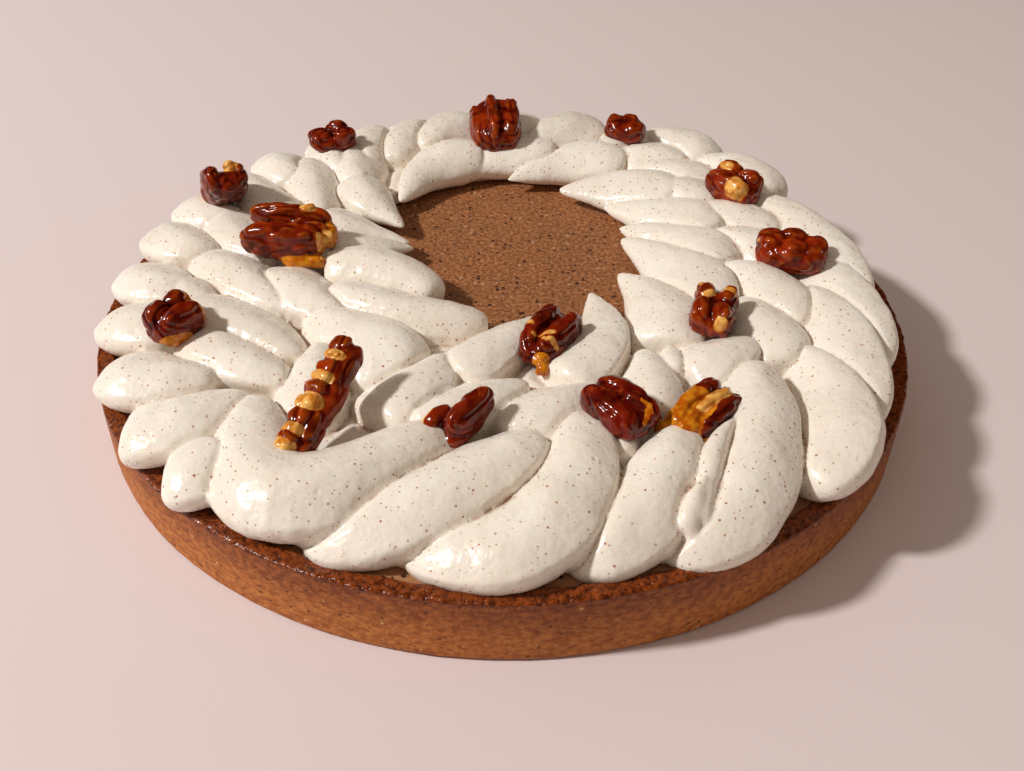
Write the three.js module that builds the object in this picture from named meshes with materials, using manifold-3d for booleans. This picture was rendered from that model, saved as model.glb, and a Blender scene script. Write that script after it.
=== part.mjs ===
// A pecan tart: a straight-sided pastry case filled almost level with a pecan filling, whipped
// cream piped over it in overlapping strokes round an open centre, and candied pecan halves
// pressed into the cream. Millimetres, +Z up; the origin is the centre of the underside.

import * as THREE from "three";
import { mergeVertices } from "three/addons/utils/BufferGeometryUtils.js";
import Module from "manifold-3d";

// Driving dimensions: the pastry case and its filling
const GAP = 0.3;
const CASE_RADIUS = 108;
const CASE_HEIGHT = 18;
const CASE_WALL = 4.5;
const CASE_FLOOR = 3.5;
const FOOT_ROUNDING = 1.2;
const RIM_ROUNDING = 0.9;
const RIM_CRAG = 0.45;
const CRAG_TURN = 1.7;
const CRAG_DRIFT = 2;
const CRAG_DRIFT_TURN = 1.3;
const FILLING_TOP = 16.5;
const MENISCUS_HEIGHT = 0.6;
const MENISCUS_WIDTH = 2;
const ROUND_SEGMENTS = 64;
const SAME_POINT = 1e-4;

// Driving dimensions: the cream. Its bed leaves the centre of the filling open, and each row of
// strokes is listed clockwise, as it was piped. A stroke starts at a round nose and is drawn off
// to a tail: [nose x, nose y, tail x, tail y, width, sideways bow where it differs from the row].
const BED_RADIUS = 93;
const BED_HEIGHT = 8;
const HOLE_X = 3;
const HOLE_Y = 26;
const HOLE_RADIUS = 45;
const STROKE_SEGMENTS = 8;
const STROKE_RINGS = 6;
const BLUNTNESS = 0.62;
const SQUARENESS = 0.85;
const LIP = 0.25;
const FINEST_DETAIL = 0.3;
const ROWS = [
  {
    thickness: 14.5,
    noseHeight: 6,
    tailHeight: 9,
    taper: 0.3,
    bank: 19,
    bow: 3,
    strokes: [
      [96, -8, 72, 50, 29, 8],
      [93, -34, 86, 14, 29, 5],
      [83, -55, 80, -2, 30, 5],
      [66, -80, 74, -27, 29, 4],
      [54, -91, 57, -44, 27],
      [43, -98, 49, -61, 31],
      [36, -92, 42, -78, 9],
      [19, -102, 38, -65, 29],
      [-12, -103, 16, -62, 33, 11],
      [-33, -98, 7, -71, 31, -3],
      [-49, -91, -14, -65, 30, -3],
      [-53, -50, -46, -94, 24, 3],
      [-70, -80, -60, -68, 27],
      [-86, -63, -60, -51, 29],
      [-97, -40, -68, -44, 27],
      [-103, -17, -78, -25, 26],
      [-104, 5, -80, -8, 26],
      [-101, 27, -80, 12, 25],
      [-95, 44, -76, 30, 23],
      [-86, 60, -64, 40, 23],
      [-75, 74, -62, 56, 23],
      [-58, 88, -48, 64, 21],
      [-42, 95, -36, 70, 18],
      [-28, 100, -29, 73, 22],
      [-12, 103, -14, 78, 22],
      [8, 103, 2, 80, 22],
      [34, 99, 10, 76, 28],
      [50, 91, 34, 74, 23],
      [66, 73, 43, 86, 25],
      [83, 52, 60, 70, 25],
    ],
  },
  {
    thickness: 14,
    noseHeight: 6.5,
    tailHeight: 8.5,
    taper: 0.25,
    bank: 17,
    bow: 2,
    strokes: [
      [82, 28, 50, 38, 24],
      [78, 12, 57, 26, 22],
      [76, -20, 57, 10, 25, 5],
      [70, -36, 60, -8, 24],
      [44, -40, 62, -23, 22],
      [40, -42, 40, -30, 12],
      [35, -58, 33, -31, 17],
      [25, -72, 23, -58, 14],
      [-1, -62, 21, -44, 22],
      [-22, -61, 4, -42, 22],
      [-28, -60, -17, -33, 23],
      [-46, -60, -48, -30, 18],
      [-23, -40, -53, -18, 24],
      [-77, -26, -49, -44, 24],
      [-83, -10, -48, -32, 25],
      [-88, -4, -72, -14, 18],
      [-84, 12, -52, -13, 22],
      [-65, 3, -36, -18, 21],
      [-82, 35, -66, 10, 22],
      [-80, 50, -55, 32, 22],
      [-63, 70, -53, 38, 21],
      [-51, 80, -42, 52, 20],
      [58, 70, 32, 76, 22],
      [66, 56, 40, 66, 22],
      [64, 44, 43, 52, 22],
    ],
  },
  {
    thickness: 14,
    noseHeight: 7.5,
    tailHeight: 5.5,
    taper: 0.4,
    bank: 12,
    bow: 6,
    strokes: [
      [54, -10, 31, 23, 23],
      [41, -28, 28, 4, 23],
      [14, -43, 18, -3, 21, 8],
      [-12, -42, 7, -8, 20, 2],
      [-43, -11, -1, -17, 19, -4],
      [-48, 6, -16, -7, 21, 4],
      [-51, 18, -31, 27, 20, 2],
      [-55, 34, -30, 31, 19, 3],
      [-47, 57, -29, 40, 18, 3],
      [-9, 77, -28, 48, 20],
      [15, 80, -17, 62, 20],
      [35, 73, 2, 64, 20],
      [45, 60, 16, 60, 20],
      [49, 43, 18, 50, 20],
      [58, 12, 29, 37, 23],
    ],
  },
];

// Driving dimensions: the candied pecans, as [x, y, length, width, thickness, yaw, pitch, roll]
// with the turns in degrees. Each is sunk by a share of its thickness into the cream it lies on.
const PECAN_SEGMENTS = 10;
const PECAN_RINGS = 8;
const PECAN_SINK = 0.25;
const PECAN_REACH = 0.35;
const BACK_SHARE = 0.7;
const GROOVE_DEPTH = 0.3;
const GROOVE_WIDTH = 0.25;
const PECANS = [
  [-57, 75, 16, 11.5, 9, 20, 0, 0],
  [-83, 36, 21, 14, 12, -60, 35, 0],
  [-60, 12.5, 25, 18, 13, -5, 0, 15],
  [-81.5, -29, 15.5, 12.5, 12, 60, 0, 0],
  [-41, -62, 33, 12, 9.5, 68, 20, 75],
  [-9.5, -63.5, 17, 11, 10, 35, 0, 0],
  [12, -29.5, 21, 13, 10, 60, 0, 0],
  [27, -61, 19, 13.5, 10, -50, 0, 0],
  [45.5, -58, 21, 12, 10.5, 48, 0, 0],
  [54, -20, 17, 12.5, 11, 75, 0, 0],
  [79.5, 9.5, 20, 14.5, 11, -20, 0, 0],
  [69, 48, 18, 14, 13, -45, 0, 0],
  [38.5, 84, 14, 11, 9, -20, 0, 0],
  [-4.5, 86.5, 24, 18, 15.5, 95, 10, 0],
];

const wasm = await Module();
wasm.setup();

// A closed geometry as a solid that can be joined and cut.
function toSolid(geometry) {
  const bare = geometry.clone();
  bare.deleteAttribute("normal");
  bare.deleteAttribute("uv");
  const merged = mergeVertices(bare, SAME_POINT);
  return new wasm.Manifold(
    new wasm.Mesh({
      numProp: 3,
      vertProperties: new Float32Array(merged.attributes.position.array),
      triVerts: new Uint32Array(merged.index.array),
    }),
  );
}

// A solid as a geometry for a mesh.
function toGeometry(solid) {
  const { vertProperties, triVerts } = solid.getMesh();
  const geometry = new THREE.BufferGeometry();
  geometry.setAttribute("position", new THREE.BufferAttribute(vertProperties, 3));
  geometry.setIndex(new THREE.BufferAttribute(triVerts, 1));
  geometry.computeVertexNormals();
  return geometry;
}

// The largest body of a solid, without loose scraps and sealed hollows.
function largestBody(solid) {
  return solid.decompose().reduce((best, body) => (body.volume() > best.volume() ? body : best));
}

// Moves every vertex of a geometry by a function that changes it in place.
function reshape(geometry, move) {
  const position = geometry.attributes.position;
  const vertex = new THREE.Vector3();
  for (let i = 0; i < position.count; i += 1) {
    vertex.fromBufferAttribute(position, i);
    move(vertex);
    position.setXYZ(i, vertex.x, vertex.y, vertex.z);
  }
  return geometry;
}

// A profile of [radius, height] pairs turned round the upright axis.
function turned(profile) {
  const points = profile.map(([radius, height]) => new THREE.Vector2(radius, height));
  return new THREE.LatheGeometry(points, ROUND_SEGMENTS).rotateX(Math.PI / 2);
}

// An upright cylinder standing on a given height.
function upright(radius, x, y, foot, height) {
  return new THREE.CylinderGeometry(radius, radius, height, ROUND_SEGMENTS)
    .rotateX(Math.PI / 2)
    .translate(x, y, foot + height / 2);
}

// A number raised to a power, keeping its sign.
function signedPower(value, power) {
  return Math.sign(value) * Math.abs(value) ** power;
}

// The pastry case: a flat floor and an upright wall, its planed rim left craggy.
function caseGeometry() {
  const inner = CASE_RADIUS - CASE_WALL;
  const geometry = turned([
    [0, 0],
    [CASE_RADIUS - FOOT_ROUNDING, 0],
    [CASE_RADIUS, FOOT_ROUNDING],
    [CASE_RADIUS, CASE_HEIGHT - RIM_ROUNDING],
    [CASE_RADIUS - RIM_ROUNDING, CASE_HEIGHT],
    [CASE_RADIUS - CASE_WALL / 2, CASE_HEIGHT],
    [inner + RIM_ROUNDING, CASE_HEIGHT],
    [inner, CASE_HEIGHT - RIM_ROUNDING],
    [inner, CASE_FLOOR],
    [0, CASE_FLOOR],
  ]);
  return reshape(geometry, (vertex) => {
    if (vertex.z === CASE_HEIGHT) {
      const drift = CRAG_DRIFT * Math.sin(CRAG_DRIFT_TURN * vertex.y);
      vertex.z += RIM_CRAG * Math.sin(CRAG_TURN * vertex.x + drift);
    }
  });
}

// The filling: a disc that fills the case and climbs a little where it meets the wall.
function fillingGeometry() {
  const edge = CASE_RADIUS - CASE_WALL - GAP;
  return turned([
    [0, CASE_FLOOR + GAP],
    [edge, CASE_FLOOR + GAP],
    [edge, FILLING_TOP + MENISCUS_HEIGHT],
    [edge - MENISCUS_WIDTH, FILLING_TOP],
    [0, FILLING_TOP],
  ]);
}

// One piped stroke: a ball drawn out from nose to tail, flattened, bowed sideways and banked so
// that its thinner, anticlockwise edge laps over the stroke piped before it.
function strokeGeometry(row, [noseX, noseY, tailX, tailY, width, bow = row.bow]) {
  const nose = new THREE.Vector2(noseX, noseY);
  const along = new THREE.Vector2(tailX, tailY).sub(nose);
  const length = along.length();
  along.normalize();
  const aside = new THREE.Vector2(along.y, -along.x);
  const bank = THREE.MathUtils.degToRad(row.bank);
  const ball = new THREE.SphereGeometry(1, STROKE_SEGMENTS, STROKE_RINGS);
  return reshape(ball, (vertex) => {
    const share = (1 - vertex.y) / 2;
    const round = Math.hypot(vertex.x, vertex.z) || 1;
    const fullness = round ** BLUNTNESS * (1 - row.taper * share);
    const flank = -vertex.x / round;
    const depth = (Math.min(row.thickness, width) / 2) * (1 - LIP * flank);
    const across = signedPower(flank, SQUARENESS) * fullness * (width / 2);
    const up = signedPower(vertex.z / round, SQUARENESS) * fullness * depth;
    const sway = bow * 4 * share * (1 - share) + across * Math.cos(bank) - up * Math.sin(bank);
    const centre = FILLING_TOP + THREE.MathUtils.lerp(row.noseHeight, row.tailHeight, share);
    vertex.set(
      nose.x + along.x * length * share + aside.x * sway,
      nose.y + along.y * length * share + aside.y * sway,
      centre + across * Math.sin(bank) + up * Math.cos(bank),
    );
  });
}

// The cream: every stroke joined to the bed it was piped on, cut level just above the filling and
// clear of the rim.
function creamSolid() {
  const strokes = ROWS.flatMap((row) =>
    row.strokes.map((stroke) => toSolid(strokeGeometry(row, stroke))),
  );
  const foot = FILLING_TOP + MENISCUS_HEIGHT + GAP;
  const hole = toSolid(upright(HOLE_RADIUS, HOLE_X, HOLE_Y, 0, 2 * CASE_HEIGHT));
  const bed = toSolid(upright(BED_RADIUS, 0, 0, foot, BED_HEIGHT)).subtract(hole);
  const inner = CASE_RADIUS - CASE_WALL - GAP;
  const outer = 2 * CASE_RADIUS;
  const clear = CASE_HEIGHT + RIM_CRAG + GAP;
  const rim = toSolid(
    turned([
      [inner, 0],
      [outer, 0],
      [outer, clear],
      [inner, clear],
      [inner, 0],
    ]),
  );
  return wasm.Manifold.union([bed, ...strokes])
    .trimByPlane([0, 0, 1], foot)
    .subtract(rim)
    .simplify(FINEST_DETAIL);
}

// A pecan half lying along X: a rounded back with a groove down its middle over a flatter face.
function pecanGeometry(length, width, thickness) {
  const ball = new THREE.SphereGeometry(1, PECAN_SEGMENTS, PECAN_RINGS);
  return reshape(ball, (vertex) => {
    const round = Math.hypot(vertex.x, vertex.z) || 1;
    const fullness = round ** (BLUNTNESS - 1);
    const groove = 1 - GROOVE_DEPTH * Math.exp(-((vertex.x / GROOVE_WIDTH) ** 2));
    const share = vertex.z > 0 ? BACK_SHARE : 1 - BACK_SHARE;
    vertex.set(
      -vertex.y * (length / 2),
      vertex.x * fullness * (width / 2),
      vertex.z * fullness * groove * share * thickness,
    );
  });
}

// The highest point of a mesh below a place in plan, or the filling's top where it has none.
function heightAt(mesh, x, y) {
  const start = new THREE.Vector3(x, y, 4 * CASE_HEIGHT);
  const hits = new THREE.Raycaster(start, new THREE.Vector3(0, 0, -1)).intersectObject(mesh);
  return hits.length ? hits[0].point.z : FILLING_TOP;
}

// The turn and the place that seat one pecan on the cream.
function pecanSeat(creamMesh, [x, y, length, width, thickness, yaw, pitch, roll]) {
  const [rollBy, pitchBy, yawBy] = [roll, -pitch, yaw].map(THREE.MathUtils.degToRad);
  const seat = new THREE.Matrix4().makeRotationFromEuler(
    new THREE.Euler(rollBy, pitchBy, yawBy, "ZYX"),
  );
  const turnedPecan = pecanGeometry(length, width, thickness).applyMatrix4(seat);
  turnedPecan.computeBoundingBox();
  const reach = new THREE.Vector3(PECAN_REACH * length, 0, 0).applyMatrix4(seat);
  const heights = [-1, 0, 1].map((k) => heightAt(creamMesh, x + k * reach.x, y + k * reach.y));
  const rise = Math.max(...heights) - turnedPecan.boundingBox.min.z - PECAN_SINK * thickness;
  return seat.setPosition(x, y, rise);
}

function namedMesh(name, geometry, color, roughness) {
  const material = new THREE.MeshStandardMaterial({ color, roughness, metalness: 0 });
  const mesh = new THREE.Mesh(geometry, material);
  mesh.name = name;
  return mesh;
}

const tart = new THREE.Group();
tart.add(namedMesh("crust", caseGeometry(), 0x9a5d33, 0.7));
tart.add(namedMesh("filling", fillingGeometry(), 0x8a5a3c, 0.6));

const bareCream = creamSolid();
const bareMesh = new THREE.Mesh(toGeometry(bareCream));
let cream = bareCream;
PECANS.forEach((pecan, i) => {
  const [, , length, width, thickness] = pecan;
  const seat = pecanSeat(bareMesh, pecan);
  const pocket = pecanGeometry(length + 2 * GAP, width + 2 * GAP, thickness + 2 * GAP);
  cream = cream.subtract(toSolid(pocket.applyMatrix4(seat)));
  const geometry = pecanGeometry(length, width, thickness).applyMatrix4(seat);
  const number = String(i + 1).padStart(2, "0");
  tart.add(namedMesh(`pecan_${number}`, geometry, 0x6a2a14, 0.3));
});
tart.add(namedMesh("cream", toGeometry(largestBody(cream)), 0xe9dfcf, 0.55));

export default tart;
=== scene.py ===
import math

import bmesh
import bpy
from mathutils import Euler, Matrix, Vector, noise


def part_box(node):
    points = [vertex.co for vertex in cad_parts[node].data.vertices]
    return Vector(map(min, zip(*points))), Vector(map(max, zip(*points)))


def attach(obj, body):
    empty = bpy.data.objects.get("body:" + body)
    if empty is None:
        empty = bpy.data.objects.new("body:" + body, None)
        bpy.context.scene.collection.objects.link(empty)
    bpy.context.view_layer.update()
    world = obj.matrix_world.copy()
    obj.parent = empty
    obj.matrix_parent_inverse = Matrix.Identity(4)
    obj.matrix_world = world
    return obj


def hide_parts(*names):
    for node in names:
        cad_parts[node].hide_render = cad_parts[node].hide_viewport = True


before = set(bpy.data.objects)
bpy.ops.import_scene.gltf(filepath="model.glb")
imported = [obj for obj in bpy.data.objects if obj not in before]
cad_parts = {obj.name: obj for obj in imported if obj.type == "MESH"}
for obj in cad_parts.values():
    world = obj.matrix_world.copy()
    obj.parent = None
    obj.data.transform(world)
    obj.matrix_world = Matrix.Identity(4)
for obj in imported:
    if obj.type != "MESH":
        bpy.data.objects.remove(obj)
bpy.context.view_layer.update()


# The pastry case
# A straight-sided case of sweet pastry, rolled thin and baked in a ring until golden brown.
# Its rim was planed level after baking, which leaves it rough, dark and sugary.
MM = 0.001
case_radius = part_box("crust")[1].x
case_wall = 4.5 * MM
case_height = 18 * MM
inner_radius = case_radius - case_wall
sunk_rim = 6 * MM
foot_rounding = 1.4 * MM
rim_rounding = 0.8 * MM
case_sides = 720
wall_rings = 26
rim_rings = 6


def arc(centre_radius, centre_height, size, start, end, steps=4):
    """Points of (radius, height) along a quarter round, from one angle to another in degrees."""
    turns = [math.radians(start + (end - start) * k / steps) for k in range(steps + 1)]
    return [(centre_radius + size * math.cos(a), centre_height + size * math.sin(a)) for a in turns]


def between(first, last, steps):
    """Points evenly spaced between two points, without the two themselves."""
    shares = [k / steps for k in range(1, steps)]
    return [tuple(a + (b - a) * share for a, b in zip(first, last)) for share in shares]


def turned(outline, sides):
    """A mesh made by drawing a ring along an outline of (radius, height) points, closed at its ends."""
    bm = bmesh.new()
    radius, height = outline[0]
    foot = Matrix.Translation((0, 0, height))
    ring = bmesh.ops.create_circle(bm, segments=sides, radius=radius, matrix=foot)
    edges = bm.edges[:]
    bm.faces.new(reversed(ring["verts"]))
    for next_radius, next_height in outline[1:]:
        drawn = bmesh.ops.extrude_edge_only(bm, edges=edges)["geom"]
        edges = [part for part in drawn if isinstance(part, bmesh.types.BMEdge)]
        for vert in drawn:
            if isinstance(vert, bmesh.types.BMVert):
                vert.co *= next_radius / radius
                vert.co.z = next_height
        radius = next_radius
    bmesh.ops.contextual_create(bm, geom=edges)
    bmesh.ops.recalc_face_normals(bm, faces=bm.faces)
    return bm


def smooth_step(low, high, value):
    """0 below low, 1 above high, and a smooth climb between them."""
    share = min(max((value - low) / (high - low), 0), 1)
    return share * share * (3 - 2 * share)


def grain(place, size, across=1.0):
    """Noise between about -1 and 1 with lumps of a given size, flattened in height by across."""
    return noise.noise(Vector((place.x, place.y, place.z * across)) / size)


def roughen(bm, rise):
    """Moves every vertex along its normal by what rise gives for it."""
    bm.normal_update()
    moves = [(vert, vert.normal * rise(vert)) for vert in bm.verts]
    for vert, move in moves:
        vert.co += move


def pastry_rise(vert):
    """Grain and flaky layers on the wall, and deeper crags on the planed rim."""
    place = vert.co
    rim = smooth_step(case_height - 1.2 * MM, case_height - 0.3 * MM, place.z)
    foot = smooth_step(0, 1 * MM, place.z)
    layers = 0.05 * grain(place, 1.3 * MM, 2) + 0.09 * grain(place, 4 * MM, 3)
    wall = layers + 0.12 * grain(place, 17 * MM)
    crags = 0.3 * grain(place, 1.5 * MM) + 0.35 * grain(place, 3.4 * MM)
    return foot * MM * (wall * (1 - rim) + crags * rim)


wall_top = case_height - rim_rounding
outer_edge = (case_radius - rim_rounding, case_height)
inner_edge = (inner_radius + rim_rounding, case_height)
inner_foot = (inner_radius, case_height - sunk_rim)
case_outline = (
    arc(case_radius - foot_rounding, foot_rounding, foot_rounding, -90, 0)
    + between((case_radius, foot_rounding), (case_radius, wall_top), wall_rings)
    + arc(case_radius - rim_rounding, wall_top, rim_rounding, 0, 90)
    + between(outer_edge, inner_edge, rim_rings)
    + arc(inner_radius + rim_rounding, wall_top, rim_rounding, 90, 180)
    + between((inner_radius, wall_top), inner_foot, rim_rings)
    + [inner_foot]
)
case_mesh = turned(case_outline, case_sides)
roughen(case_mesh, pastry_rise)


class Wire:
    """A value or colour running between a material's nodes. Sums of wires add Math nodes."""

    def __init__(self, socket):
        self.socket = socket

    def add(self, kind, settings, sockets, output=0):
        """Adds a node with its settings first, then its sockets' values or wires."""
        tree = self.socket.id_data
        made = tree.nodes.new(kind)
        for name, value in settings.items():
            setattr(made, name, value)
        for name, value in sockets.items():
            if isinstance(value, Wire):
                tree.links.new(value.socket, made.inputs[name])
            else:
                made.inputs[name].default_value = value
        return Wire(made.outputs[output])

    def sum(self, operation, first, second):
        return self.add("ShaderNodeMath", {"operation": operation}, {0: first, 1: second})

    def __add__(self, other):
        return self.sum("ADD", self, other)

    __radd__ = __add__

    def __sub__(self, other):
        return self.sum("SUBTRACT", self, other)

    def __rsub__(self, other):
        return self.sum("SUBTRACT", other, self)

    def __mul__(self, other):
        return self.sum("MULTIPLY", self, other)

    __rmul__ = __mul__

    def climb(self, low, high):
        """0 below low, 1 above high, and a smooth climb between them."""
        span = {"Value": self, "From Min": low, "From Max": high}
        return self.add("ShaderNodeMapRange", {"interpolation_type": "SMOOTHSTEP"}, span)

    def tint(self, first, second):
        """The first colour where this is 0, the second where it is 1."""
        return self.add("ShaderNodeMix", {"data_type": "RGBA"}, {0: self, 6: first, 7: second}, "Result")


def finish(name, **constants):
    """A new material, its shader with some constants set, and a wire with the object's coordinates."""
    material = bpy.data.materials.new(name)
    material.use_nodes = True
    shader = material.node_tree.nodes["Principled BSDF"]
    for socket, value in constants.items():
        shader.inputs[socket.replace("_", " ")].default_value = value
    place = Wire(material.node_tree.nodes.new("ShaderNodeTexCoord").outputs["Object"])
    return material, shader, place


def join(shader, socket, wire):
    """Leads a wire to one of the shader's sockets."""
    shader.id_data.links.new(wire.socket, shader.inputs[socket])


def colour(red, green, blue):
    """A colour given as it looks on a screen, from 0 to 255, as a shader wants it."""
    channels = [c / 255 for c in (red, green, blue)]
    return tuple(c / 12.92 if c < 0.04045 else ((c + 0.055) / 1.055) ** 2.4 for c in channels) + (1,)


def mottle(place, size, detail=2.0):
    """Soft noise between 0 and 1 with lumps of a given size."""
    return place.add("ShaderNodeTexNoise", {}, {"Vector": place, "Scale": 1 / size, "Detail": detail})


def stretched(place, x, y, z):
    """Coordinates drawn out or squeezed along each axis."""
    return place.add("ShaderNodeMapping", {}, {"Vector": place, "Scale": (x, y, z)})


def specks(place, spacing, largest, softness):
    """A mask of round specks of uneven size, one to a cell at most."""
    cell = place.add("ShaderNodeTexVoronoi", {}, {"Vector": place, "Scale": 1 / spacing}, "Color")
    draw = cell.add("ShaderNodeSeparateColor", {}, {"Color": cell}, "Red")
    distance = Wire(cell.socket.node.outputs["Distance"])
    reach = draw * draw * (largest / spacing)
    return (reach - distance).climb(-softness, softness)


def relief(place, height):
    """A normal bent by a height in metres."""
    return place.add("ShaderNodeBump", {}, {"Height": height, "Strength": 1, "Distance": 1})


def baked_pastry():
    """Golden brown pastry, darker and redder towards the rim, with pores darkened as painted shade and
    pale sugary grains that are partly a painted glint.
    """
    material, shader, place = finish("baked_pastry", Specular_IOR_Level=0.35)
    height = place.add("ShaderNodeSeparateXYZ", {}, {"Vector": place}, "Z")
    layered = stretched(place, 1, 1, 1.5)
    patches = mottle(place, 16 * MM, 3)
    streaks = mottle(layered, 1.8 * MM, 3)
    fine = mottle(layered, 0.7 * MM)
    browned = (height + patches * 9 * MM - 4.5 * MM).climb(6 * MM, 17.5 * MM)
    golden = streaks.climb(0.3, 0.7).tint(colour(154, 84, 32), colour(194, 120, 58))
    dark = streaks.climb(0.3, 0.7).tint(colour(116, 56, 22), colour(158, 87, 40))
    wall = browned.tint(golden, dark)
    pores = specks(layered, 2.3 * MM, 0.5 * MM, 0.12)
    crystals = specks(place, 2.9 * MM, 0.5 * MM, 0.08)
    # Painted shade: the pores are darkened as if shaded inside.
    pore_shaded = pores.tint(wall, colour(112, 60, 30))
    # The sugar grains are paler, partly for real sugar and partly as a painted glint.
    sugar_and_painted_glint = crystals.tint(pore_shaded, colour(208, 156, 104))
    grains = mottle(place, 1.5 * MM)
    rim = (grains * 0.6 + fine * 0.4).climb(0.34, 0.66).tint(colour(72, 27, 8), colour(142, 67, 22))
    planed = (height + fine * 0.8 * MM).climb(case_height - 0.7 * MM, case_height + 0.1 * MM)
    join(shader, "Base Color", planed.tint(sugar_and_painted_glint, rim))
    join(shader, "Roughness", 0.62 - planed * 0.44 + fine * 0.1)
    depth = streaks * 0.25 * MM + fine * 0.16 * MM + grains * planed * 0.5 * MM - pores * 0.35 * MM
    join(shader, "Normal", relief(place, depth + crystals * 0.1 * MM))
    return material


def piece(name, bm, material, slot, *nodes):
    """Makes a mesh a smooth piece of the tart that stands for the nodes it replaces."""
    mesh = bpy.data.meshes.new(name)
    bm.to_mesh(mesh)
    bm.free()
    mesh.shade_smooth()
    mesh.materials.append(material)
    made = bpy.data.objects.new(name, mesh)
    bpy.context.scene.collection.objects.link(made)
    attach(made, "root")
    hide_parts(*nodes)
    return made


piece("pastry_case", case_mesh, baked_pastry(), "crust", "crust")


# The filling
# A soft brown pecan filling baked in the case almost to its rim, with a dull skin full of
# small pits and specks. It shows in the open centre and as a narrow ring inside the rim.
filling_top = 16.5 * MM
meniscus_height = 0.8 * MM
meniscus_width = 2.5 * MM
filling_radius = inner_radius - 0.05 * MM
filling_foot = case_height - sunk_rim + 0.1 * MM
filling_sides = 360
filling_rings = 84
side_rings = 3
meniscus_rings = 5
# Between these radii the filling is made paler as painted light, where the overhanging cream would shade
# it.
painted_light_ring_start = 84 * MM
painted_light_ring_end = 92 * MM


def filling_rise(vert):
    """Low swells and fine pits on the skin of the filling."""
    place = vert.co
    skin = smooth_step(filling_top - 0.4 * MM, filling_top - 0.1 * MM, place.z)
    return skin * MM * (0.12 * grain(place, 2.2 * MM) + 0.2 * grain(place, 9 * MM))


meniscus_foot = (filling_radius - meniscus_width, filling_top)
filling_outline = (
    [(filling_radius, filling_foot)]
    + between((filling_radius, filling_foot), (filling_radius, filling_top), side_rings)
    + arc(meniscus_foot[0], filling_top + meniscus_width, meniscus_width, -20, -90, meniscus_rings)
    + between(meniscus_foot, (0, filling_top), filling_rings)
)
filling_mesh = turned(filling_outline, filling_sides)
for vert in filling_mesh.verts:
    climb = max(vert.co.z - filling_top, 0)
    vert.co.z = min(vert.co.z, filling_top) + climb * meniscus_height / meniscus_width
roughen(filling_mesh, filling_rise)


def brown_filling():
    """A dull brown skin with dark specks, pale grains, pits darkened as painted shade, orange where it
    is thin, and a paler ring by the wall that is painted light.
    """
    material, shader, place = finish("brown_filling", Specular_IOR_Level=0.45)
    clouds = mottle(place, 14 * MM, 3)
    fine = mottle(place, 1.1 * MM, 3)
    lumps = mottle(place, 2.6 * MM)
    skin = fine.climb(0.3, 0.72).tint(colour(120, 73, 40), colour(174, 116, 73))
    warm = fine.climb(0.3, 0.72).tint(colour(130, 77, 42), colour(182, 118, 73))
    toned = clouds.climb(0.3, 0.75).tint(skin, warm)
    out = place.add("ShaderNodeVectorMath", {"operation": "LENGTH"}, {0: place}, "Value")
    # Painted light: the ring by the wall is lifted to a pale tan, standing in for light that the cream's
    # overhang keeps off it.
    ring = out.climb(painted_light_ring_start, painted_light_ring_end).tint(toned, colour(176, 124, 84))
    pale = specks(place, 2.1 * MM, 0.62 * MM, 0.1)
    pits = specks(place, 1.9 * MM, 0.6 * MM, 0.1)
    dark = specks(place, 5.2 * MM, 0.95 * MM, 0.08)
    grained = pale.tint(ring, colour(190, 142, 104))
    # Painted shade: the pits are darkened as if shaded inside.
    pit_shaded = pits.tint(grained, colour(70, 36, 20))
    join(shader, "Base Color", dark.tint(pit_shaded, colour(62, 34, 22)))
    join(shader, "Roughness", 0.36 + fine * 0.3)
    depth = fine * 0.3 * MM + lumps * 0.35 * MM - pits * 0.3 * MM + pale * 0.1 * MM
    join(shader, "Normal", relief(place, depth))
    return material


piece("pecan_filling", filling_mesh, brown_filling(), "filling", "filling")


# The cream
# Whipped cream with ground spice in it, piped in rows of overlapping strokes round the open centre.
# Each stroke starts at a fat nose, is banked so that one edge laps over the stroke beside it, and is
# drawn off to a tail. A thin bed of cream under the strokes holds them to the filling.
stroke_sides = 40
stroke_rings = 32
ball_pole = 0.00001
belly_squareness = 0.9
lip_start = 0.3
lip_left = -45
lip_right = 25
hook_power = 4
crease_gain = 2.8
crease_rounds = 48
shade_rounds = 10
cream_voxel = 0.5 * MM
cream_triangles = 190000
bed_radius = 88 * MM
bed_height = 5.5 * MM
bed_sides = 96
hole_centre = Vector((3, 26, 0)) * MM
hole_radius = 49 * MM
cream_foot = filling_top + 0.2 * MM

# A row's measures are in millimetres and degrees. The heights are those of a stroke's middle line
# above the filling. Spread and low_reach widen a stroke, taper, bluntness and hook shape its ends,
# and bank, twist and lip raise its right-hand edge. A stroke is (nose x, nose y, tail x, tail y,
# width) and a bend if it has its own: a sideways bow, or the point that its middle passes through.
plain_row = {"spread": 1, "low_reach": 1.1, "nose_bluntness": 0.46, "hook": 0, "lip": 0, "bow": 3}
front_row = {
    **plain_row, "thickness": 17, "nose_height": 1.5, "tail_height": 9, "taper": 0.1,
    "nose_bluntness": 0.75, "tail_bluntness": 0.6, "bank": 18, "twist": 0.8,
    "strokes": [
        (34, -92, 60, -38, 26, (53.5, -76)), (14, -95, 40, -62, 22, (31, -86)),
        (-20, -90, 18, -58, 27, (8, -91)), (-41, -89, 9, -66, 26, (-17, -85)),
    ],
}
hooked_stroke = {
    **plain_row, "thickness": 17, "nose_height": 7, "tail_height": 8, "low_reach": 1, "taper": 0.05,
    "nose_bluntness": 0.6, "tail_bluntness": 0.55, "bank": 8, "twist": 0.5,
    "strokes": [(-58, -52, -12, -62, 25, (-45, -84))],
}
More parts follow.
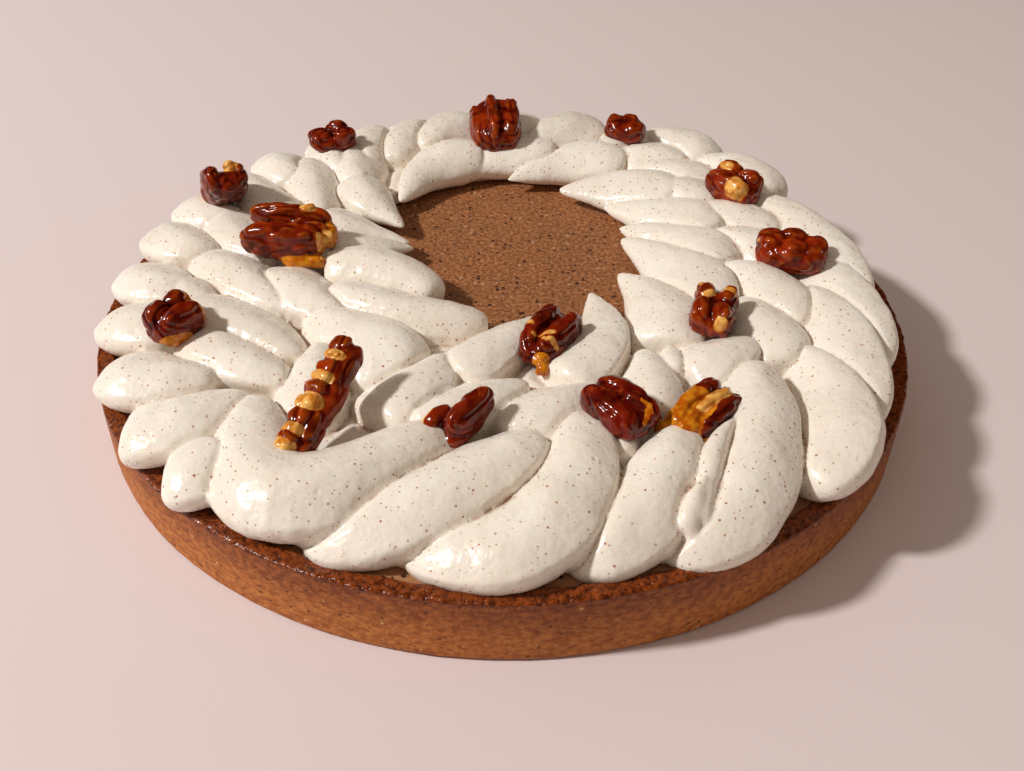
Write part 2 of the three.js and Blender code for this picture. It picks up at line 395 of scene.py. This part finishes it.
left_row = {
    **plain_row, "thickness": 16, "nose_height": 4.5, "tail_height": 8, "taper": 0.4,
    "tail_bluntness": 0.7, "bank": 19, "twist": 0.3,
    "strokes": [
        (-73, -77, -56, -66, 26), (-86, -62, -60, -51, 29), (-95, -39, -68, -44, 27),
        (-100, -16, -78, -25, 26), (-101, 5, -80, -8, 26), (-99, 27, -80, 12, 25),
        (-95, 44, -76, 30, 23), (-86, 60, -64, 40, 23), (-75, 74, -62, 56, 23),
        (-58, 88, -50, 62, 22), (-42, 95, -44, 68, 22), (-26, 100, -36, 72, 24),
    ],
}
right_row = {
    **plain_row, "thickness": 16.5, "nose_height": 4.5, "tail_height": 8, "spread": 1.1,
    "low_reach": 1.3, "taper": 0.45, "tail_bluntness": 0.8, "hook": 0.1,
    "bank": 29, "twist": 0.2, "lip": 0.3,
    "strokes": [
        (90.5, -8, 69, 50, 25, 8), (88.5, -33, 82, 14, 25, 5), (81, -54, 78, -2, 26, 5),
        (66, -74, 71, -30, 26, (78, -56)), (-8, 101, -24, 78, 27), (12, 102, -4, 80, 24),
        (34, 97, 10, 78, 28), (50, 91, 34, 74, 23), (66, 73, 43, 86, 25), (82, 52, 60, 70, 25),
    ],
}
middle_row = {
    **plain_row, "thickness": 15.5, "nose_height": 5.5, "tail_height": 7.5, "spread": 1.15,
    "low_reach": 1.3, "taper": 0.5, "tail_bluntness": 0.8, "hook": 0.1,
    "bank": 21, "twist": 0.2, "lip": 0.25, "bow": 2,
    "strokes": [
        (82, 28, 50, 38, 22), (78, 12, 57, 26, 20), (76, -20, 57, 10, 22, 5),
        (70, -36, 60, -8, 21), (44, -40, 62, -23, 22), (40, -42, 40, -30, 12),
        (35, -58, 33, -31, 17), (25, -72, 23, -58, 14), (-1, -62, 21, -44, 22),
        (-22, -61, 4, -42, 22), (-28, -60, -17, -33, 23), (-46, -60, -48, -30, 18),
        (-23, -40, -53, -18, 24), (-77, -26, -49, -44, 24), (-83, -10, -48, -32, 25),
        (-88, -4, -72, -14, 18), (-84, 12, -52, -13, 22), (-65, 3, -36, -18, 21),
        (-82, 35, -66, 10, 22), (-80, 50, -55, 32, 22), (-63, 70, -53, 38, 21),
        (-51, 80, -42, 52, 20), (58, 70, 32, 76, 22), (66, 56, 40, 66, 22),
        (64, 44, 43, 52, 22),
    ],
}
inner_row = {
    **plain_row, "thickness": 14, "nose_height": 7, "tail_height": 5, "spread": 1.25,
    "low_reach": 1, "taper": 0.7, "tail_bluntness": 0.9, "hook": 0.3,
    "bank": 19, "twist": 0.1, "lip": 0.4, "bow": 6,
    "strokes": [
        (54, -10, 31, 23, 23), (41, -28, 28, 4, 23), (14, -43, 18, -3, 21, 8),
        (-12, -42, 7, -8, 20, 2), (-51, 18, -31, 27, 20, 2), (-55, 34, -30, 31, 19, 3),
        (-47, 57, -29, 40, 18, 3), (-8, 79, -27, 51, 20, 8), (16, 79, -17, 62, 19, 8),
        (39, 73, 5, 62, 20, 7), (53, 48, 19, 53, 22, 5), (60, 26, 30, 42, 23, 5),
        (60, 8, 33, 29, 23, 5),
    ],
}
closing_strokes = {
    **plain_row, "thickness": 14, "nose_height": 7, "tail_height": 5.5, "taper": 0.2,
    "tail_bluntness": 0.5, "bank": 10, "twist": 0,
    "strokes": [(-47, -6, -4, -17, 19, 4), (-50, 8, -19, -5, 20, -4)],
}
small_curls = {
    **plain_row, "thickness": 10, "nose_height": 7, "tail_height": 12.5, "low_reach": 1,
    "taper": 0.5, "tail_bluntness": 1, "hook": 0.3, "bank": 10, "twist": 0, "bow": 1,
    "strokes": [(38, -93, 42, -81, 8), (42, -92, 50, -61, 10, 0)],
}
cream_rows = [
    front_row, hooked_stroke, left_row, right_row, middle_row, inner_row, closing_strokes, small_curls
]


def signed_power(value, power):
    """A number raised to a power, keeping its sign."""
    return math.copysign(abs(value) ** power, value)


def ball(sides, rings):
    """A ball as a mesh that strokes and lumps are shaped from."""
    bm = bmesh.new()
    bmesh.ops.create_uvsphere(bm, u_segments=sides, v_segments=rings, radius=1)
    mesh = bpy.data.meshes.new("ball")
    bm.to_mesh(mesh)
    bm.free()
    return mesh


def add_shaped(bm, template, move):
    """Adds a ball to a mesh, with each of its vertices put where move says."""
    lump = template.copy()
    for vert in lump.vertices:
        vert.co = move(vert.co)
    bm.from_mesh(lump)
    bpy.data.meshes.remove(lump)


def stroke_shape(row, nose_x, nose_y, tail_x, tail_y, width, bend=None):
    """Gives what moves a ball's points to a stroke, drawn from nose to tail, bent, banked and lipped."""
    nose = Vector((nose_x, nose_y, 0))
    tail = Vector((tail_x, tail_y, 0))
    along = tail - nose
    if isinstance(bend, tuple):
        turn = Vector((*bend, 0)) * 2 - nose.lerp(tail, 0.5)
    else:
        bow = row["bow"] if bend is None else bend
        turn = nose.lerp(tail, 0.5) + Vector((along.y, -along.x, 0)).normalized() * 2 * bow
    half_depth = min(row["thickness"], width) / 2

    def move(point):
        share = (1 - point.z) / 2
        round_here = math.hypot(point.x, point.y)
        flank = point.x / max(round_here, ball_pole)
        crown = point.y / max(round_here, ball_pole)
        bluntness = row["nose_bluntness"] + (row["tail_bluntness"] - row["nose_bluntness"]) * share
        fullness = round_here ** bluntness * (1 - row["taper"] * share)
        bank = math.radians(row["bank"]) * (1 + row["twist"] * (2 * share - 1))
        lip = row["lip"] * smooth_step(lip_left, lip_right, nose_x) * smooth_step(0, lip_start, share)
        reach = row["spread"] * width / 2 * (1 if flank > 0 else row["low_reach"])
        across = signed_power(flank, belly_squareness) * fullness * reach
        lipped = lip + (1 - lip) * crown * crown
        rounded = signed_power(crown, belly_squareness)
        up = half_depth * fullness * (lipped if flank > 0 and crown >= 0 else rounded)
        hook = row["hook"] * width * share ** hook_power
        sway = hook + across * math.cos(bank) - up * math.sin(bank)
        rise = row["nose_height"] + (row["tail_height"] - row["nose_height"]) * share
        first = nose.lerp(turn, share)
        last = turn.lerp(tail, share)
        heading = (last - first).normalized()
        place = first.lerp(last, share) + Vector((heading.y, -heading.x, 0)) * sway
        place.z = rise + across * math.sin(bank) + up * math.cos(bank)
        return place * MM + Vector((0, 0, filling_top))

    return move


def lay_bed(bm):
    """Adds the thin layer of cream that the strokes stand on, open at the centre."""
    low = Matrix.Translation((0, 0, cream_foot))
    outer = bmesh.ops.create_circle(bm, segments=bed_sides, radius=bed_radius, matrix=low)
    at_hole = low @ Matrix.Translation(hole_centre)
    inner = bmesh.ops.create_circle(bm, segments=bed_sides, radius=hole_radius, matrix=at_hole)
    rings = {edge for vert in outer["verts"] + inner["verts"] for edge in vert.link_edges}
    floor = bmesh.ops.bridge_loops(bm, edges=list(rings))["faces"]
    bmesh.ops.solidify(bm, geom=floor, thickness=bed_height)


def fused(bm, voxel):
    """The skin of overlapping closed shapes as one even mesh."""
    mesh = bpy.data.meshes.new("shapes")
    bm.to_mesh(mesh)
    bm.free()
    shapes = bpy.data.objects.new("shapes", mesh)
    bpy.context.scene.collection.objects.link(shapes)
    remesh = shapes.modifiers.new("skin", "REMESH")
    remesh.mode = "VOXEL"
    remesh.voxel_size = voxel
    skin = shapes.evaluated_get(bpy.context.evaluated_depsgraph_get()).to_mesh()
    bm = bmesh.new()
    bm.from_mesh(skin)
    bpy.data.objects.remove(shapes)
    bpy.data.meshes.remove(mesh)
    return bm


def smoothed(bm, rounds):
    """Evens out a mesh by moving each vertex towards its neighbours."""
    for _ in range(rounds):
        bmesh.ops.smooth_vert(
            bm, verts=bm.verts, factor=0.5, use_axis_x=True, use_axis_y=True, use_axis_z=True
        )


def hollows(bm, rounds, scale):
    """How deep each vertex lies in a furrow, below zero on a crest, in shares of a depth."""
    bm.normal_update()
    skin = [(vert.co.copy(), vert.normal.copy()) for vert in bm.verts]
    smoothed(bm, rounds)
    depths = [(vert.co - place).dot(normal) / scale for vert, (place, normal) in zip(bm.verts, skin)]
    for vert, (place, _) in zip(bm.verts, skin):
        vert.co = place
    return depths


def cream_rise(vert):
    """Soft swells and low ripples."""
    place = vert.co
    swells = 0.5 * grain(place, 12 * MM) + 0.2 * grain(place, 4.5 * MM)
    return MM * (swells + 0.06 * grain(place, 1.8 * MM))


cream_mesh = bmesh.new()
lay_bed(cream_mesh)
stroke_ball = ball(stroke_sides, stroke_rings)
for cream_row in cream_rows:
    for stroke in cream_row["strokes"]:
        add_shaped(cream_mesh, stroke_ball, stroke_shape(cream_row, *stroke))
cream_mesh = fused(cream_mesh, cream_voxel)
smoothed(cream_mesh, 1)
for vert, depth in zip(cream_mesh.verts, hollows(cream_mesh, crease_rounds, 1)):
    vert.co.z -= max(depth, 0) * crease_gain
smoothed(cream_mesh, 1)
roughen(cream_mesh, cream_rise)
# Painted shade: each vertex keeps how deep it lies in a crease, so that the finish can darken it.
painted_crease_shade = cream_mesh.verts.layers.float.new("painted_crease_shade")
for vert, depth in zip(cream_mesh.verts, hollows(cream_mesh, shade_rounds, MM)):
    vert[painted_crease_shade] = depth
    vert.co.z = max(vert.co.z, cream_foot)


def whipped_cream():
    """Ivory cream, moist and a little translucent, with fine brown specks, pin holes and painted shade
    in its creases.
    """
    material, shader, place = finish(
        "whipped_cream", Specular_IOR_Level=0.5, Subsurface_Weight=0.2,
        Subsurface_Radius=(1.0, 0.62, 0.38), Subsurface_Scale=1.2 * MM
    )
    clouds = mottle(place, 20 * MM)
    fine = mottle(place, 1.1 * MM, 3)
    body = clouds.climb(0.3, 0.7).tint(colour(236, 226, 211), colour(243, 235, 222))
    brown = specks(place, 1.2 * MM, 0.3 * MM, 0.08)
    red = specks(place, 1.7 * MM, 0.32 * MM, 0.06)
    grey = specks(place, 4.3 * MM, 0.38 * MM, 0.04)
    # Painted shade: the cream turns a warm brown the deeper a point lies in a crease.
    painted_crease_shade = place.add("ShaderNodeAttribute", {"attribute_name": "painted_crease_shade"}, {}, "Fac")
    painted_shade_in_creases = painted_crease_shade.climb(0.1, 0.7).tint(body, colour(184, 148, 118))
    dusted = brown.tint(painted_shade_in_creases, colour(190, 152, 124))
    spiced = red.tint(dusted, colour(174, 116, 86))
    join(shader, "Base Color", grey.tint(spiced, colour(166, 142, 126)))
    join(shader, "Roughness", 0.05 + fine * 0.42)
    pin_holes = specks(place, 5.3 * MM, 0.55 * MM, 0.1)
    ripples = mottle(place, 3 * MM) * 0.22 * MM + mottle(place, 1.6 * MM, 0) * 0.08 * MM
    depth = ripples + fine * 0.06 * MM - pin_holes * 0.2 * MM
    join(shader, "Normal", relief(place, depth))
    return material


cream = piece("piped_cream", cream_mesh, whipped_cream(), "cream", "cream")
piped_triangles = 2 * len(cream.data.polygons)
thinned = cream.modifiers.new("thinned", "DECIMATE")
thinned.ratio = min(1, cream_triangles / piped_triangles)
cream_thin = bpy.data.meshes.new_from_object(cream.evaluated_get(bpy.context.evaluated_depsgraph_get()))
cream.modifiers.clear()
cream.data = cream_thin


# The candied pecans
# Pecan halves and broken pieces, boiled in caramel, which dries to a hard red-brown gloss. They are
# pressed lightly into the cream. Pale kernel shows where a nut is broken, and amber caramel gathers
# at the ends and sides of some.
nut_sides = 24
nut_rings = 18
nut_voxel = 0.34 * MM
nut_bluntness = 2.6
fold_length = 9 * MM
fold_width = 3.2 * MM
fold_height = 0.9 * MM
fold_sink = 0.32 * MM
furrow_rounds = 16
furrow_depth = 0.4 * MM
patch_edge = 1.35
nut_marks = ("furrow", "warmth", "kernel", "caramel")

# A nut has its length, width and thickness in millimetres, its turns (yaw, pitch, roll) in degrees,
# and how warm its caramel is, from 0 for dark red to 1 for amber. A lobe is (x, y, z, half length,
# half width, half height, turn) in shares of the nut's own halves. The belly joins the lobes, kernel
# and caramel are lobes of those colours, and patches only colour what lies within them.
plain_belly = (0, 0, -0.16, 0.96, 0.92, 0.76, 0)
nuts = [
    {
        "size": (16, 11.5, 9), "turns": (20, 0, 0), "warmth": 0.3,
        "lobes": [(-0.5, 0.05, -0.1, 0.45, 0.7, 0.7, 10), (0.25, 0.3, 0.2, 0.45, 0.5, 0.75, -12),
                  (0.45, -0.42, 0, 0.45, 0.42, 0.8, 14)],
        "belly": (0, 0, -0.35, 0.9, 0.85, 0.6, 0),
    },
    {
        "size": (21, 14, 12), "turns": (-60, 35, 0), "warmth": 0.25,
        "lobes": [(0.05, 0.5, 0.1, 0.85, 0.4, 0.75, 4), (0.1, -0.48, 0.15, 0.85, 0.42, 0.8, -6)],
        "kernel": [(0.62, 0.3, 0.62, 0.2, 0.3, 0.3, 20)],
        "caramel_patches": [(-0.7, -0.55, -0.4, 0.4, 0.5, 0.6, 0)],
    },
    {
        "size": (25, 18, 13), "turns": (-5, 0, 8), "warmth": 0.8,
        "lobes": [(-0.02, 0.54, 0.2, 0.95, 0.3, 0.66, -2), (-0.05, -0.5, 0.05, 0.92, 0.4, 0.85, 3),
                  (0.45, 0.04, 0, 0.5, 0.18, 0.6, -3)],
        "kernel": [(0.42, 0.56, 0.72, 0.17, 0.17, 0.2, 20)],
        "kernel_patches": [(0.92, -0.5, 0.2, 0.14, 0.4, 0.8, 0)],
        "caramel": [(0.45, -0.78, -0.65, 0.5, 0.25, 0.3, 0), (0.92, 0.1, -0.2, 0.16, 0.4, 0.45, 0)],
        "belly": (0, 0, -0.45, 0.9, 0.85, 0.5, 0),
    },
    {
        "size": (15.5, 12.5, 12), "turns": (60, 0, 0), "warmth": 0.15,
        "lobes": [(-0.4, 0.4, 0.15, 0.5, 0.5, 0.75, 0), (0.4, 0.36, 0.1, 0.5, 0.52, 0.8, 20),
                  (-0.05, -0.5, 0.1, 0.75, 0.42, 0.8, -10)],
        "caramel_patches": [(0.8, -0.4, -0.1, 0.35, 0.8, 0.9, 0), (-0.6, -0.7, -0.6, 0.5, 0.5, 0.5, 0)],
    },
    {
        "size": (33, 10, 9.5), "turns": (68, 20, 75), "warmth": 0.8,
        "lobes": [(-0.5, -0.2, 0.2, 0.46, 0.6, 0.7, 8), (0, -0.3, 0.2, 0.5, 0.64, 0.75, 0),
                  (0.5, -0.2, 0.2, 0.46, 0.58, 0.66, -8), (-0.76, 0.3, -0.1, 0.1, 0.46, 0.58, 0),
                  (-0.43, 0.28, -0.1, 0.14, 0.52, 0.66, 0), (0.05, 0.22, -0.1, 0.13, 0.54, 0.68, 0),
                  (0.42, 0.24, -0.1, 0.13, 0.52, 0.64, 0), (0.8, 0.28, -0.1, 0.16, 0.46, 0.58, 0)],
        "kernel": [(-0.88, 0.36, -0.1, 0.1, 0.38, 0.46, 0), (-0.63, 0.4, -0.1, 0.08, 0.4, 0.54, 0),
                   (-0.18, 0.34, -0.1, 0.13, 0.46, 0.66, 0), (0.24, 0.32, -0.1, 0.08, 0.44, 0.6, 0),
                   (0.61, 0.36, -0.1, 0.07, 0.4, 0.54, 0)],
        "belly": (0, -0.2, 0, 0.94, 0.62, 0.85, 0),
    },
    {
        "size": (17, 12, 10), "turns": (50, 12, 0), "warmth": 0.2,
        "lobes": [(0.15, -0.3, 0.15, 0.86, 0.48, 0.85, 0), (-0.45, 0.56, -0.2, 0.5, 0.42, 0.72, -20)],
        "kernel_patches": [(-0.75, 0.95, -0.1, 0.4, 0.16, 0.6, -20)],
        "belly": (-0.1, 0, -0.5, 0.85, 0.75, 0.45, 0),
    },
    {
        "size": (21, 13, 10), "turns": (60, 0, 0), "warmth": 0.1,
        "lobes": [(0.1, 0.48, 0.1, 0.88, 0.44, 0.85, 3), (0.08, -0.42, 0.1, 0.88, 0.44, 0.85, -3)],
        "kernel_patches": [(-0.4, -0.1, 0.9, 0.06, 0.4, 0.3, 30),
                           (-0.2, 0.75, 0.75, 0.06, 0.3, 0.4, -20),
                           (-0.5, -0.6, 0.6, 0.06, 0.4, 0.4, 10)],
        "caramel": [(-0.95, -0.62, -0.5, 0.16, 0.26, 0.35, 0), (-0.82, -0.42, -0.2, 0.16, 0.26, 0.4, 0)],
    },
    {
        "size": (19, 13.5, 10), "turns": (-50, 0, 0), "warmth": 0,
        "lobes": [(0, 0.4, 0.05, 0.95, 0.54, 0.9, 3), (-0.02, -0.42, 0.02, 0.92, 0.52, 0.88, -4)],
        "caramel_patches": [(0.84, 0.1, 0.6, 0.06, 0.4, 0.4, 30), (0.68, 0.32, 0.7, 0.2, 0.06, 0.4, 0)],
    },
    {
        "size": (21, 12, 10.5), "turns": (48, 0, 0), "warmth": 0.1,
        "lobes": [(0.12, -0.64, 0, 0.84, 0.36, 0.74, 0), (0.16, 0.5, 0.05, 0.82, 0.46, 0.86, 0)],
        "kernel": [(0.28, -0.16, 0.42, 0.54, 0.26, 0.42, -4)],
        "caramel": [(-0.62, 0.1, 0.1, 0.36, 0.74, 0.62, 0), (-0.45, -0.85, -0.5, 0.3, 0.22, 0.35, 0),
                    (-0.95, 0.45, -0.1, 0.3, 0.4, 0.5, 0)],
        "caramel_patches": [(-0.3, 0.2, 0.6, 0.5, 0.7, 0.6, 0)],
    },
    {
        "size": (17, 12.5, 11), "turns": (75, 0, 0), "warmth": 0.5,
        "lobes": [(0.48, 0.44, 0.08, 0.48, 0.46, 0.82, 14), (-0.38, 0.46, 0.1, 0.54, 0.42, 0.8, -8),
                  (0.44, -0.46, 0.08, 0.5, 0.42, 0.8, -14), (-0.44, -0.4, 0.04, 0.5, 0.44, 0.78, 10)],
        "kernel_patches": [(0.78, 0.4, 0.7, 0.12, 0.4, 0.3, 20), (0.5, -0.5, 0.8, 0.09, 0.4, 0.3, -20),
                           (-0.92, -0.4, 0.35, 0.1, 0.24, 0.4, 0),
                           (0.14, 0.4, 0.85, 0.08, 0.4, 0.3, 30)],
    },
    {
        "size": (20, 14.5, 11), "turns": (-20, 0, 0), "warmth": 0.75,
        "lobes": [(-0.55, 0.05, 0.1, 0.4, 0.75, 0.78, 25), (-0.02, 0.4, 0.12, 0.42, 0.5, 0.82, 35),
                  (0.08, -0.4, 0.1, 0.44, 0.5, 0.82, 20), (0.58, 0.34, 0, 0.38, 0.5, 0.76, 30),
                  (0.6, -0.38, 0, 0.36, 0.44, 0.75, 25)],
        "kernel_patches": [(-0.98, -0.3, 0.5, 0.1, 0.3, 0.2, 20)],
    },
    {
        "size": (18, 14, 13), "turns": (-45, 0, 0), "warmth": 0.8,
        "lobes": [(-0.42, 0.46, 0.15, 0.5, 0.44, 0.75, 0), (0.42, 0.34, 0.15, 0.48, 0.5, 0.75, 0),
                  (-0.1, -0.4, 0.05, 0.78, 0.48, 0.8, 0)],
        "kernel": [(0.4, -0.55, 0.3, 0.34, 0.36, 0.44, 0)],
        "kernel_patches": [(-0.5, 0.1, 0.85, 0.25, 0.3, 0.25, 0), (-0.2, 0.78, 0.7, 0.14, 0.2, 0.25, 0),
                           (0.15, 0.8, 0.66, 0.14, 0.2, 0.25, 0), (0.6, 0.76, 0.4, 0.4, 0.2, 0.3, 0)],
    },
    {
        "size": (14, 11, 9), "turns": (-20, 0, 0), "warmth": 0.5,
        "lobes": [(-0.5, 0, 0.1, 0.42, 0.7, 0.8, 0), (0.1, 0.36, 0.15, 0.46, 0.5, 0.78, 0),
                  (0.5, -0.26, 0, 0.44, 0.6, 0.74, 0)],
    },
    {
        "size": (24, 18, 15.5), "turns": (95, 10, 0), "warmth": 0.65,
        "lobes": [(0, 0.68, -0.12, 0.8, 0.28, 0.68, 4), (0, 0.16, 0.1, 0.97, 0.28, 0.9, 2),
                  (-0.02, -0.5, 0, 0.92, 0.36, 0.84, -3)],
        "belly": (0, 0, -0.06, 0.96, 0.9, 0.78, 0),
    },
]


def lobe_frame(lobe, halves):
    """The matrix that turns a ball into one lobe of a nut."""
    x, y, z, half_length, half_width, half_height, turn = lobe
    place = Vector((x * halves.x, y * halves.y, z * halves.z))
    size = Vector((half_length * halves.x, half_width * halves.y, half_height * halves.z))
    return Matrix.LocRotScale(place, Euler((0, 0, math.radians(turn))), size)


def blunt_length(point):
    """How far out a point is, 1 on the skin of the blunt ball that lobes are made from."""
    return sum(abs(share) ** nut_bluntness for share in point) ** (1 / nut_bluntness)


def share_of(lobes, point):
    """1 within any of the lobes, given as matrices from the nut to a ball, and 0 a little way off."""
    nearest = min((blunt_length(lobe @ point) for lobe in lobes), default=patch_edge)
    return 1 - smooth_step(1, patch_edge, nearest)


def wrinkle(vert):
    """Long furrows along the nut and fine unevenness, sunk a little so that the nut keeps its size."""
    place = vert.co
    folds = noise.noise(Vector((place.x / fold_length, place.y / fold_width, place.z / fold_width)))
    ridges = fold_height * min(2 * abs(folds), 0.5)
    return ridges - fold_sink + 0.26 * MM * grain(place, 2.6 * MM)


def candied_nut():
    """Hard, clear red-brown caramel over a furrowed skin, with painted shade in the furrows, a painted
    glow on the crests, bare kernel and amber pools.
    """
    material, shader, place = finish("candied_nut", Roughness=0.18, Specular_IOR_Level=0.38)
    read = {}
    for mark in nut_marks:
        read[mark] = place.add("ShaderNodeAttribute", {"attribute_name": mark}, {}, "Fac")
    patches = mottle(place, 5 * MM, 1)
    lumps = mottle(place, 2 * MM, 1)
    swells = mottle(place, 2.8 * MM, 0)
    fine = mottle(place, 0.9 * MM)
    red = patches.climb(0.35, 0.65).tint(colour(64, 6, 3), colour(106, 18, 5))
    amber = patches.climb(0.35, 0.65).tint(colour(94, 15, 2), colour(142, 38, 4))
    # Painted light: crests get an orange glow, standing in for light shining through thin caramel.
    crest = read["warmth"].tint(colour(146, 44, 8), colour(186, 88, 18))
    with_painted_crest_glow = read["furrow"].climb(0, -0.9).tint(read["warmth"].tint(red, amber), crest)
    # Painted shade: the furrows are darkened almost to black by how deep they lie.
    shaded = read["furrow"].climb(0.05, 0.8).tint(with_painted_crest_glow, colour(26, 3, 1))
    pooled = lumps.climb(0.3, 0.7).tint(colour(174, 84, 7), colour(214, 136, 24))
    bare = lumps.climb(0.3, 0.7).tint(colour(200, 122, 38), colour(234, 180, 96))
    ragged = lumps * 0.9 + fine * 0.5 - 0.7
    glazed = (read["caramel"] + ragged).climb(0.38, 0.62).tint(shaded, pooled)
    edged = (read["kernel"] + ragged).climb(0.05, 0.5).tint(glazed, colour(166, 74, 12))
    join(shader, "Base Color", (read["kernel"] + ragged).climb(0.45, 0.9).tint(edged, bare))
    join(shader, "Normal", relief(place, swells * 0.5 * MM + fine * 0.025 * MM))
    return material


nut_finish = candied_nut()
nut_ball = ball(nut_sides, nut_rings)
for vert in nut_ball.vertices:
    vert.co /= blunt_length(vert.co)
for number, nut in enumerate(nuts, start=1):
    node = f"pecan_{number:02d}"
    halves = Vector(nut["size"]) * MM / 2
    kernel = nut.get("kernel", [])
    caramel = nut.get("caramel", [])
    nut_mesh = bmesh.new()
    for lobe in [nut.get("belly", plain_belly), *nut["lobes"], *kernel, *caramel]:
        add_shaped(nut_mesh, nut_ball, lobe_frame(lobe, halves).__matmul__)
    nut_mesh = fused(nut_mesh, nut_voxel)
    smoothed(nut_mesh, 2)
    roughen(nut_mesh, wrinkle)
    smoothed(nut_mesh, 1)
    depths = hollows(nut_mesh, furrow_rounds, furrow_depth)
    marks = {mark: nut_mesh.verts.layers.float.new(mark) for mark in nut_marks}
    bare = [lobe_frame(lobe, halves).inverted() for lobe in kernel + nut.get("kernel_patches", [])]
    pools = [lobe_frame(lobe, halves).inverted() for lobe in caramel + nut.get("caramel_patches", [])]
    for vert, depth in zip(nut_mesh.verts, depths):
        # The furrow depth drives painted shade in the furrows and a painted glow on the crests.
        vert[marks["furrow"]] = depth
        vert[marks["warmth"]] = nut["warmth"]
        vert[marks["kernel"]] = share_of(bare, vert.co)
        vert[marks["caramel"]] = share_of(pools, vert.co)
    yaw, pitch, roll = (math.radians(turn) for turn in nut["turns"])
    bmesh.ops.rotate(nut_mesh, verts=nut_mesh.verts, matrix=Euler((roll, -pitch, yaw)).to_matrix())
    low = Vector([min(vert.co[axis] for vert in nut_mesh.verts) for axis in range(3)])
    high = Vector([max(vert.co[axis] for vert in nut_mesh.verts) for axis in range(3)])
    node_low, node_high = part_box(node)
    bmesh.ops.translate(nut_mesh, verts=nut_mesh.verts, vec=(node_low + node_high - low - high) / 2)
    piece(f"candied_nut_{number:02d}", nut_mesh, nut_finish, "pecan", node)


# The floor, the light and the camera
# A plain pale table top, one small lamp like low sun from the left and a little in front, and soft
# warm light from all round, which the glossy nuts don't mirror. The camera looks down at the tart.
floor_reach = 3
floor_mesh = bmesh.new()
bmesh.ops.create_grid(floor_mesh, x_segments=1, y_segments=1, size=floor_reach)
floor_data = bpy.data.meshes.new("table_top")
floor_mesh.to_mesh(floor_data)
floor_mesh.free()
floor_finish = finish("pale_plaster", Roughness=0.7, Base_Color=colour(224, 210, 208))
floor_data.materials.append(floor_finish[0])
floor = bpy.data.objects.new("table_top", floor_data)
bpy.context.scene.collection.objects.link(floor)

lamp_distance = 2
lamp_beam = Vector((0.72, 0.17, -0.68)).normalized()
lamp_data = bpy.data.lights.new("lamp", "AREA")
lamp_data.shape = "DISK"
lamp_data.size = 0.2
lamp_data.energy = 36
lamp_data.color = (1.0, 0.98, 0.97)
lamp = bpy.data.objects.new("lamp", lamp_data)
lamp.location = lamp_beam * -lamp_distance
lamp.rotation_euler = lamp_beam.to_track_quat("-Z", "Y").to_euler()
bpy.context.scene.collection.objects.link(lamp)

world = bpy.data.worlds.new("room")
world.use_nodes = True
room = world.node_tree.nodes["Background"]
room.inputs["Color"].default_value = (0.82, 0.68, 0.57, 1)
room.inputs["Strength"].default_value = 0.4
bpy.context.scene.world = world
world.cycles_visibility.glossy = False

image_width = 1024
focal_pixels = 1090
camera_data = bpy.data.cameras.new("camera")
camera_data.sensor_width = 36
camera_data.lens = camera_data.sensor_width * focal_pixels / image_width
camera_place = Matrix.Translation((0.0025, -0.2520, 0.1862))
camera_tilt = Matrix.Rotation(math.radians(51.954), 4, "X")
camera_roll = Matrix.Rotation(math.radians(0.928), 4, "Z")
camera = bpy.data.objects.new("camera", camera_data)
camera.matrix_world = camera_place @ camera_tilt @ camera_roll
bpy.context.scene.collection.objects.link(camera)
bpy.context.scene.camera = camera
bpy.context.scene.view_settings.view_transform = "Standard"
